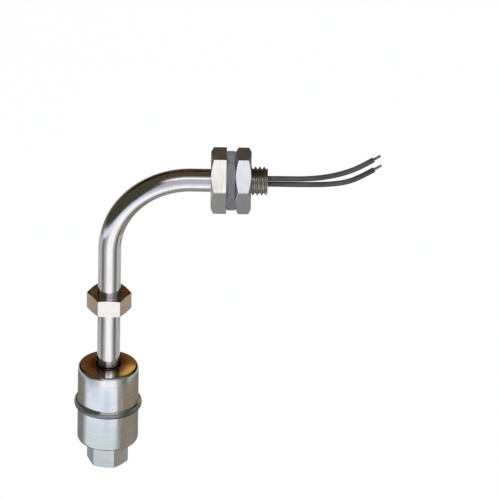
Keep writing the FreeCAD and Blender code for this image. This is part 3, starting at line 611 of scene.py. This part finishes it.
fitting.data.materials.append(thread_steel)
face_centres = np.zeros(len(fitting.data.polygons) * 3)
fitting.data.polygons.foreach_get("center", face_centres)
is_thread = (face_centres.reshape(-1, 3)[:, 0] > relief_end).astype(np.int32)
fitting.data.polygons.foreach_set("material_index", is_thread)

# %% [markdown]
# ## Gasket and nut
# The gasket is a plain ring that bulges a little where it is squeezed. The nut is a hexagon with a cone on
# both faces and a countersunk bore.

# %% Gasket
GASKET_BORE = 6.3 * MM
GASKET_BULGE = 0.12 * MM
gasket_out = high("sealing_gasket")[1]
gasket_face = gasket_out - GASKET_BULGE
gasket_low, gasket_high = low("sealing_gasket")[0], high("sealing_gasket")[0]
gasket_corners = [(GASKET_BORE, gasket_low), (gasket_face, gasket_low),
                  (gasket_out, (gasket_low + gasket_high) / 2), (gasket_face, gasket_high),
                  (GASKET_BORE, gasket_high)]
gasket_angles = around(96)
gasket_reach = np.array([0.1, 0.4, 1, 0.4, 0.1]) * MM
gasket_outline = rounded(ring_outline(gasket_corners, gasket_angles), gasket_reach)
gasket = turned("ring_gasket", gasket_outline, gasket_angles, ARM_AXIS, "X")
finish_piece(gasket, "stem", "gasket_rubber", gasket_rubber, "sealing_gasket")

# %% Nut
NUT_BORE = 6.06 * MM
NUT_FLARE = 0.54 * MM
NUT_MOUTH = 0.9 * MM
nut_start, nut_end = low("mounting_nut")[0], high("mounting_nut")[0]
nut_outline = stack_outline(
    [(NUT_BORE, nut_start + NUT_MOUTH), (NUT_BORE + NUT_FLARE, nut_start)]
    + chamfered_wall(wall, FLANGE_FLATS, nut_start, nut_end)
    + [(NUT_BORE + NUT_FLARE, nut_end), (NUT_BORE, nut_end - NUT_MOUTH)],
    count,
)
nut_reach = np.array([0.1, 0.1, 0.2, 0.2, 0.2, 0.2, 0.1, 0.1]) * MM
nut = turned("hexagon_nut", rounded(nut_outline, nut_reach, 4), fitting_angles, ARM_AXIS, "X")
finish_piece(nut, "nut", "steel", nut_steel, "mounting_nut")

# %% [markdown]
# ## Stops
# Two hexagons on the stem keep the float in its range. The upper one is a collar locked by a grub screw at
# its back. Its solid already has the hole for that screw, so the solid stays and only gets a finish. The
# lower one is a closed cap.

# %% Lower cap
CAP_FLATS = 15.0 * MM
CAP_TURN = math.radians(79)
cap_angles = hexagon_angles(CAP_TURN, per_flat=12)
cap_wall = hexagon_radius(cap_angles, CAP_FLATS, CAP_TURN)
cap_low, cap_high = low("lower_stop_cap")[2], high("lower_stop_cap")[2]
cap_socket_floor = STEM_END - SOCKET_GAP
cap_outline = stack_outline(
    [(0.0, cap_socket_floor), (SOCKET_RADIUS, cap_socket_floor), (SOCKET_RADIUS, cap_high)]
    + chamfered_wall(cap_wall, CAP_FLATS, cap_low, cap_high, slope=CAP_SLOPE)[::-1]
    + [(0.0, cap_low)],
    len(cap_angles),
)
cap_reach = np.array([0, 0.1, 0.15, 0.2, 0.25, 0.25, 0.3, 0]) * MM
cap = turned("end_cap", rounded(cap_outline, cap_reach, 4), cap_angles, STEM_AXIS)
finish_piece(cap, "stem", "steel", stop_steel, "lower_stop_cap")

# %% [markdown]
# ## Float
# Two drawn cups, each with a stepped rim, are welded rim to rim round a magnet. Drawn sheet has no sharp
# edges: the top turns into the wall over 1.3 mm and the bottom over 1.6 mm, and the middle of each end is
# very slightly raised. The bead round the seam has the fine ripples of a weld.

# %% Float cups: measures
FLOAT_WALL = 0.25 * MM
FLOAT_RADIUS = 12.5 * MM
CROWN = 0.35 * MM
CROWN_RADIUS_SHARE, CROWN_DROP_SHARE = 0.62, 0.25  # where the crown's gentle slope becomes steeper
RIM_STEP, RIM_GAP = 1.4 * MM, 0.02 * MM
HOLE_GAP = 0.03 * MM
SLEEVE_OUT = high("float_sleeve")[1]
float_low, float_high = low("float_lower_shell")[2], high("float_upper_shell")[2]
seam = (high("float_lower_shell")[2] + low("float_upper_shell")[2]) / 2
rim_radius = high("float_upper_shell")[1]
float_angles = around(144)
print("float", round((float_high - float_low) / MM, 2), "mm high, seam at z", round(seam / MM, 2), "mm")


# %% Float cups: surfaces
def cup(name, side, corner, crown, node, material):
    """A drawn cup: (radius, distance from the seam) outside, then back along the inside, one wall apart."""
    height = (float_high - float_low) / 2
    hole = SLEEVE_OUT + HOLE_GAP
    wall = FLOAT_WALL
    knee = (FLOAT_RADIUS * CROWN_RADIUS_SHARE, height - crown * CROWN_DROP_SHARE)
    corners = [
        (hole, height), knee, (FLOAT_RADIUS, height - crown),
        (FLOAT_RADIUS, RIM_STEP), (rim_radius, RIM_STEP), (rim_radius, RIM_GAP),
        (rim_radius - wall, RIM_GAP), (rim_radius - wall, RIM_STEP - wall),
        (FLOAT_RADIUS - wall, RIM_STEP - wall),
        (FLOAT_RADIUS - wall, height - crown - wall), (knee[0], knee[1] - wall), (hole, height - wall),
    ]
    inner = max(corner - wall, 0.2 * MM)
    # how far each corner's arc reaches along its sides
    reach = [0, 2 * MM, corner, 0.3 * MM, 1.1 * MM, 0.02 * MM,
             0.02 * MM, 0.5 * MM, 0.1 * MM, inner, 2 * MM, 0]
    outline = rounded(ring_outline(corners, float_angles), reach, 9)
    outline[..., 1] = seam + side * outline[..., 1]
    piece = turned(name, outline, float_angles, STEM_AXIS)
    finish_piece(piece, "float", "steel", material, node)


cup("float_upper_cup", 1, 1.3 * MM, CROWN, "float_upper_shell", tinted_float_steel)
cup("float_lower_cup", -1, 1.6 * MM, CROWN * 0.5, "float_lower_shell", float_steel)

# %% Weld bead
BEAD_OUT = high("float_weld_band")[1]
BEAD_HALF = 1.1 * MM
BEAD_ROOT = 0.1 * MM  # how far the bead reaches into the rims
RIPPLES, RIPPLE_SHARE = 150, 0.05
bead_angles = around(600)
bead_arc = np.linspace(-np.pi / 2, np.pi / 2, 11)
swell = 1 + RIPPLE_SHARE * np.cos(RIPPLES * bead_angles)[None, :] * np.cos(bead_arc)[:, None]
bead_depth = BEAD_OUT - rim_radius
bead_outer = np.stack([
    rim_radius - BEAD_ROOT + (bead_depth + BEAD_ROOT) * np.cos(bead_arc)[:, None] * swell,
    np.repeat(seam + BEAD_HALF * np.sin(bead_arc)[:, None], len(bead_angles), axis=1),
], axis=-1)
bead = turned("seam_weld", bead_outer, bead_angles, STEM_AXIS)
finish_piece(bead, "float", "steel", weld_steel, "float_weld_band")

# %% Float sleeve
SLEEVE_WALL = 0.25 * MM
SLEEVE_ROUND = 0.1 * MM
sleeve_low, sleeve_high = low("float_sleeve")[2], high("float_sleeve")[2]
sleeve_in = SLEEVE_OUT - SLEEVE_WALL
sleeve_corners = [(sleeve_in, sleeve_low), (SLEEVE_OUT, sleeve_low),
                  (SLEEVE_OUT, sleeve_high), (sleeve_in, sleeve_high)]
sleeve_outline = rounded(ring_outline(sleeve_corners, float_angles), [SLEEVE_ROUND] * 4, 4)
sleeve = turned("sliding_sleeve", sleeve_outline, float_angles, STEM_AXIS)
finish_piece(sleeve, "float", "steel", sleeve_steel, "float_sleeve")

# %% [markdown]
# ## Leads
# Each lead's line is a smooth NURBS curve with the route's points as control points: straight out of the
# potting, then a slow rise to its end. The insulation is a tube of rings along that line, cut off square with
# a slightly rounded edge. The bare end is a twist of tinned strands.

# %% Lines of the leads
LEAD_DIAMETER = 2.2 * MM
LEAD_AXIS = 1.3 * MM
LEAD_SIDES = {"lead_a": 1, "lead_b": -1}
LEAD_STEPS = {
    "lead_a": [(0, 0, 0), (7.2, 0, 0), (16.2, 0.3, -0.1), (24.3, 0.2, 1.0), (31.8, -0.3, 3.4),
               (38.1, -0.8, 6.7), (43.0, -1.0, 10.1)],
    "lead_b": [(0, 0, 0), (7.2, 0, 0), (16.2, -0.2, 0.1), (25.3, 0, 0.3), (32.8, 0.4, 1.3),
               (38.8, 0.8, 4.1), (43.4, 1.0, 7.0)],
}


def lead_line(name, steps, side):
    """Points along a NURBS curve of order 3 that has the route's points as its control points."""
    curve = bpy.data.curves.new(name, "CURVE")
    curve.dimensions = "3D"
    line = curve.splines.new("NURBS")
    line.points.add(len(steps) - 1)
    for point, step in zip(line.points, np.array(steps, float) * MM):
        point.co = (thread_end + step[0], step[1], side * LEAD_AXIS + step[2], 1.0)
    line.order_u = 3
    line.use_endpoint_u = True
    line.resolution_u = 16
    route = bpy.data.objects.new(name, curve)
    mesh = bpy.data.meshes.new_from_object(route)
    points = np.array([vertex.co[:] for vertex in mesh.vertices])
    bpy.data.meshes.remove(mesh)
    bpy.data.objects.remove(route)
    return points


lead_lines = {node: lead_line(f"{node}_route", LEAD_STEPS[node], side) for node, side in LEAD_SIDES.items()}
for node, points in lead_lines.items():
    run = np.linalg.norm(np.diff(points, axis=0), axis=1).sum()
    print(node, len(points), "points,", round(run / MM, 2), "mm")

# %% Insulation
TIP_RADIUS = 0.6 * MM
CUT_ROUND = 0.12 * MM
CUT_STEPS = np.array([0.0, 0.3, 1.0])


def insulation(name, points):
    """Rings centre + radius (U cos a + V sin a) across the line, where U is the Y axis made square to the
    line. The last rings close in over the rounded cut."""
    way = np.gradient(points, axis=0)
    way /= np.linalg.norm(way, axis=1)[:, None]
    radius = np.full(len(points), LEAD_DIAMETER / 2)
    back = CUT_ROUND * np.array([1.0, 0.3, 0.0, 0.0])
    ends = points[-1] - back[:, None] * way[-1]
    points = np.concatenate([points[:1], points[:-1], ends])
    way = np.concatenate([way[:1], way[:-1], way[-1:].repeat(4, 0)])
    cut = LEAD_DIAMETER / 2 - CUT_ROUND * CUT_STEPS
    radius = np.concatenate([[TIP_RADIUS], radius[:-1], cut, [TIP_RADIUS]])
    across = SIDEWAYS - way[:, 1:2] * way
    across /= np.linalg.norm(across, axis=1)[:, None]
    skin = ring_at(points, across, np.cross(way, across), radius, around(28))
    return grid_mesh(name, skin, close_rows=False)


# %% Strands
TIP_LENGTH = 3.5 * MM
TIP_HIDDEN = 0.4 * MM  # length inside the insulation
STRAND_LAY = 9 * MM  # length of one full twist
STRANDS_ROUND = 6


def strand_tip(name, points):
    """Seven strands: one straight and six on a helix round it, centre + reach (U cos a + V sin a) + T s."""
    way = points[-1] - points[-2]
    way /= np.linalg.norm(way)
    u = np.cross(way, SIDEWAYS)
    u /= np.linalg.norm(u)
    v = np.cross(way, u)
    along = np.linspace(-TIP_HIDDEN, TIP_LENGTH, 22)
    strand = TIP_RADIUS / 3
    parts = []
    for number in range(STRANDS_ROUND + 1):
        reach = 0.0 if number == STRANDS_ROUND else 2 * strand
        twist = number * 2 * np.pi / STRANDS_ROUND + along / STRAND_LAY * 2 * np.pi
        line = points[-1] + along[:, None] * way
        line = line + reach * (np.cos(twist)[:, None] * u + np.sin(twist)[:, None] * v)
        size = np.full(len(along), strand)
        size[-1] *= 0.75
        skin = ring_at(line, u, v, size, around(8))
        skin = np.concatenate([line[:1, None].repeat(8, 1), skin, line[-1:, None].repeat(8, 1)])
        parts.append(grid_mesh(f"{name}_strand", skin, close_rows=False))
    joined = parts[0]
    joined.name = name
    with bpy.context.temp_override(active_object=joined, selected_editable_objects=parts):
        bpy.ops.object.join()
    return joined


# %% Place the leads
for node, points in lead_lines.items():
    letter = node[-1]
    lead = insulation(f"wire_{letter}", points)
    finish_piece(lead, "stem", "lead_jacket", lead_jacket, node)
    tip = strand_tip(f"wire_{letter}_strands", points)
    finish_piece(tip, "stem", "tinned_wire", tinned_wire, f"{node}_tip")

# %% [markdown]
# ## Finishes on the solids that stay
# The remaining solids have the right shape already, so each one only gets its finish.

# %% Finish the remaining solids
KEPT = {
    "upper_stop": stop_steel, "upper_stop_screw": screw_steel, "potting_plug": potting_resin,
    "inner_lead_a": lead_jacket, "inner_lead_b": lead_jacket, "insulating_sleeve": milky_sleeving,
    "reed_board": fibre_board, "reed_glass": green_glass, "reed_blade_upper": reed_metal,
    "reed_blade_lower": reed_metal, "solder_joints": dull_solder, "float_magnet": dark_ferrite,
    "magnet_clip_upper": clip_steel, "magnet_clip_lower": clip_steel,
}
for node, material in KEPT.items():
    nodes[node].data.materials.clear()
    nodes[node].data.materials.append(material)
    print(node, "keeps its solid, finished as", material.name)

# %% [markdown]
# ## Studio
# A pale floor lies well below the switch, and the surroundings are white. The floor has one side only and is
# clear from below. Polished metal shows what stands around it, so a big tent stands round the studio, painted
# in soft areas: pale blue in front, tan at the sides, dark brown overhead and behind. A small screen round
# the stem has a white strip between two dark ones, which draws the two dark lines down the thin tube. A lower
# ring, the skirt, gives each flat of the cap its own tone. All three throw no light and no shadow, and only
# mirror-like surfaces see them.


# %% Helpers for the stage
def empty_tree(owner):
    """Turn on the nodes of a material or a world and clear them."""
    owner.use_nodes = True
    owner.node_tree.nodes.clear()
    return owner.node_tree


def seen_ray(tree):
    """1 where the camera, a mirror or glass looks at the surface, and 0 where it lights a matt one."""
    rays = tree.nodes.new("ShaderNodeLightPath").outputs
    seen = calculate(tree, "MAXIMUM", rays["Is Camera Ray"], rays["Is Glossy Ray"])
    return calculate(tree, "MAXIMUM", seen, rays["Is Transmission Ray"])


def mix_shaders(tree, factor, first, second):
    """The first shader where the factor is 0, and the second where it is 1."""
    return add_node(tree, "ShaderNodeMixShader", {0: factor, 1: first, 2: second}).outputs[0]


# %% Floor
FLOOR_Z = -0.42
FLOOR_REACH = 6.0
FLOOR_GLOW = 0.8  # share of its own light where it is seen; the rest is matt and takes the shadow
WHITE = (1.0, 1.0, 1.0, 1.0)


def one_sided_white(name):
    """A matt white that glows where the camera sees it, and clear where it is seen from its back."""
    material = bpy.data.materials.new(name)
    tree = empty_tree(material)
    part = calculate(tree, "MULTIPLY", seen_ray(tree), FLOOR_GLOW)
    matt = add_node(tree, "ShaderNodeBsdfDiffuse", {"Color": WHITE}).outputs[0]
    glow = add_node(tree, "ShaderNodeEmission", {"Color": WHITE}).outputs[0]
    underside = add_node(tree, "ShaderNodeNewGeometry").outputs["Backfacing"]
    clear = add_node(tree, "ShaderNodeBsdfTransparent").outputs[0]
    surface = mix_shaders(tree, underside, mix_shaders(tree, part, matt, glow), clear)
    add_node(tree, "ShaderNodeOutputMaterial", {"Surface": surface})
    return material


floor_points = np.array([[(x, y, FLOOR_Z) for x in (-FLOOR_REACH, FLOOR_REACH)]
                         for y in (-FLOOR_REACH, FLOOR_REACH)])
floor = grid_mesh("studio_floor", floor_points, False, False)
floor.data.flip_normals()  # grid_mesh turns an open sheet away from the origin, which is down here
floor.data.materials.append(one_sided_white("studio_floor"))
floor.visible_glossy = False
print("floor", round(low("lower_stop_cap")[2] - FLOOR_Z, 3), "m below the cap")

# %% World
SOFT_LIGHT, SOFT_STRENGTH = (0.95, 0.97, 1.0, 1.0), 0.55
world = bpy.data.worlds.new("studio")
bpy.context.scene.world = world
tree = empty_tree(world)
soft = add_node(tree, "ShaderNodeBackground", {"Color": SOFT_LIGHT, "Strength": SOFT_STRENGTH}).outputs[0]
white = add_node(tree, "ShaderNodeBackground", {"Color": WHITE, "Strength": 1.0}).outputs[0]
add_node(tree, "ShaderNodeOutputWorld", {"Surface": mix_shaders(tree, seen_ray(tree), soft, white)})

# %% Colours of the tent, the screen and the skirt
TENT_RADIUS = 20.0
TENT_BASE = (0.215, 0.20, 0.175)
TENT_AREAS = [
    # pair of angles, first range, second range, softness of both, colour
    ("level", (-108, 50), (-68, -4), (28, 12), (0.82, 0.88, 1.02)),
    ("level", (-22, 16), (-56, 2), (12, 14), (0.70, 0.76, 0.92)),
    ("level", (36, 68), (-56, 2), (8, 14), (0.34, 0.30, 0.29)),
    ("level", (8, 40), (-56, 2), (10, 14), (0.86, 0.87, 0.95)),
    ("level", (54, 130), (-72, 20), (14, 12), (0.27, 0.215, 0.155)),
    ("level", (-200, 200), (-100, -66), (8, 8), (0.31, 0.30, 0.29)),
    ("level", (-140, -12), (-14, 60), (9, 9), (0.060, 0.055, 0.040)),
    ("rise", (-12, 64), (-24, 30), (8, 10), (0.52, 0.50, 0.60)),
    ("rise", (37, 55), (-24, 34), (4, 4), (1.20, 1.17, 1.15)),
    ("rise", (66, 172), (-72, 72), (6, 6), (0.075, 0.060, 0.034)),
    ("rise", (120, 170), (-60, 60), (8, 8), (0.022, 0.014, 0.009)),
    ("rise", (140, 162), (-14, -0.8), (2, 1.2), (0.125, 0.050, 0.018)),
    ("rise", (140, 162), (0.5, 14), (2, 1.0), (0.15, 0.055, 0.014)),
    ("rise", (142.5, 150.5), (0.8, 8), (2, 1.2), (0.62, 0.34, 0.085)),
]
SCREEN_RADIUS = 150 * MM
SCREEN_HEIGHTS = (-172 * MM, -75 * MM)
SCREEN_BASE = (0.50, 0.50, 0.50)
SCREEN_AREAS = [
    ("level", (-42, 40), (-90, 90), (24, 1), (1.12, 1.09, 1.10)),
    ("level", (-94, -44), (-90, 90), (20, 1), (0.17, 0.17, 0.18)),
    ("level", (38, 84), (-90, 90), (18, 1), (0.16, 0.155, 0.15)),
    ("level", (-138, -106), (-46, -41.5), (6, 0.7), (0.34, 0.26, 0.165)),
    ("level", (106, 138), (-46, -41.5), (6, 0.7), (0.34, 0.26, 0.165)),
    ("level", (150, 200), (-90, 90), (14, 1), (0.85, 0.86, 0.88)),
    ("level", (-200, -150), (-90, 90), (14, 1), (0.85, 0.86, 0.88)),
]
SKIRT_HEIGHTS = (-226 * MM, -191 * MM)
SKIRT_BASE = (0.21, 0.215, 0.21)
SKIRT_AREAS = [
    ("level", (-112, 54), (-90, 90), (36, 1), (0.69, 0.765, 0.79)),
    ("level", (56, 126), (-90, 90), (14, 1), (0.28, 0.23, 0.19)),
    ("level", (76, 122), (-70, -54.2), (8, 0.3), (0.31, 0.335, 0.345)),
    ("level", (-46, 2), (-70, -54.2), (8, 0.3), (0.56, 0.645, 0.69)),
    ("level", (-168, -118), (-70, -54.2), (8, 0.3), (0.29, 0.335, 0.365)),
]


# %% Painted surroundings
def smooth_cover(tree, angle, start, end, soft):
    """A product of two smooth steps: 0 outside the range, 1 inside it, soft degrees of change at each end."""
    low_step, high_step = (
        map_range(tree, angle, float(edge), float(inner), shape="SMOOTHSTEP")
        for edge, inner in ((start, start + soft), (end, end - soft))
    )
    return calculate(tree, "MULTIPLY", low_step, high_step)


def painted_surroundings(name, centre_x, base, areas):
    """Paint by direction from the line x = centre_x, y = 0. level is (angle round the vertical from the
    front, height angle). rise is (angle from the front's horizon over the top to the back, angle to the
    side). Each area is laid over those before it, with a cover that is the product of its two ranges'."""
    material = bpy.data.materials.new(name)
    tree = empty_tree(material)
    place = tree.nodes.new("ShaderNodeTexCoord").outputs["Object"]
    shifted = vector_math(tree, "SUBTRACT", place, (centre_x, 0.0, 0.0))[0]
    way = vector_math(tree, "NORMALIZE", shifted)[0]
    x, y, z = add_node(tree, "ShaderNodeSeparateXYZ", {0: way}).outputs
    front = calculate(tree, "MULTIPLY", y, -1.0)
    level = [calculate(tree, "ARCTAN2", x, front), calculate(tree, "ARCSINE", z)]
    rise = [calculate(tree, "ARCTAN2", z, front), calculate(tree, "ARCSINE", x)]
    degrees = {"level": [calculate(tree, "DEGREES", angle) for angle in level],
               "rise": [calculate(tree, "DEGREES", angle) for angle in rise]}
    colour = base
    for kind, first, second, softness, shade in areas:
        covers = [smooth_cover(tree, angle, *limits, soft)
                  for angle, limits, soft in zip(degrees[kind], (first, second), softness)]
        colour = blend_colours(tree, calculate(tree, "MULTIPLY", *covers), colour, shade)
    glow = add_node(tree, "ShaderNodeEmission", {"Color": colour}).outputs[0]
    add_node(tree, "ShaderNodeOutputMaterial", {"Surface": glow})
    return material


def reflected_only(piece, material):
    """Only mirror-like surfaces see this piece, and it takes and throws no light."""
    piece.data.materials.append(material)
    for ray in ("visible_camera", "visible_diffuse", "visible_shadow", "visible_transmission"):
        setattr(piece, ray, False)


# %% Tent, screen and skirt
tent_around = around(64)
tent_height = np.linspace(-np.pi / 2, np.pi / 2, 33)[:, None]
tent_points = TENT_RADIUS * np.stack(np.broadcast_arrays(
    np.cos(tent_height) * np.cos(tent_around), np.cos(tent_height) * np.sin(tent_around), np.sin(tent_height)
), axis=-1)
tent = grid_mesh("studio_tent", tent_points, close_rows=False)
reflected_only(tent, painted_surroundings("studio_tent", 0.0, TENT_BASE, TENT_AREAS))

ring_x, ring_y = STEM_X + SCREEN_RADIUS * np.cos(tent_around), SCREEN_RADIUS * np.sin(tent_around)
for name, heights, base, areas in (("studio_screen", SCREEN_HEIGHTS, SCREEN_BASE, SCREEN_AREAS),
                                   ("studio_skirt", SKIRT_HEIGHTS, SKIRT_BASE, SKIRT_AREAS)):
    screen_points = np.stack([np.column_stack([ring_x, ring_y, np.full_like(ring_x, z)]) for z in heights])
    screen = grid_mesh(name, screen_points, close_rows=False)
    reflected_only(screen, painted_surroundings(name, STEM_X, base, areas))
print("tent", TENT_RADIUS, "m, screen", SCREEN_RADIUS, "m")

# %% [markdown]
# ## Lamps
# Three broad soft lamps light the matt pieces. Mirrors don't see the lamps, so they leave no square
# highlights on the steel.


# %% Lamps
def soft_lamp(name, place, width, power):
    """A square area lamp that faces the switch."""
    data = bpy.data.lights.new(name, "AREA")
    data.size = width
    data.energy = power
    lamp = bpy.data.objects.new(name, data)
    bpy.context.scene.collection.objects.link(lamp)
    way = AIM - Vector(place)
    lamp.matrix_world = Matrix.Translation(Vector(place)) @ way.to_track_quat("-Z", "Y").to_matrix().to_4x4()
    lamp.visible_glossy = False


LAMPS = {
    # place and width in metres, power in watts
    "key_lamp": ((-0.9, -1.3, 1.5), 1.2, 24.0),
    "fill_lamp": ((1.3, -0.9, 0.6), 1.2, 9.0),
    "back_lamp": ((0.2, 1.4, 1.1), 1.0, 8.0),
}
for name, (place, width, power) in LAMPS.items():
    soft_lamp(name, place, width, power)
    print(name, power, "W")

# %% [markdown]
# ## View
# The render shows the colours as they are written, through the Standard view transform. The
# surfaces must stay in the solid model's box.

# %% View transform
bpy.context.scene.view_settings.view_transform = "Standard"
bpy.context.view_layer.update()
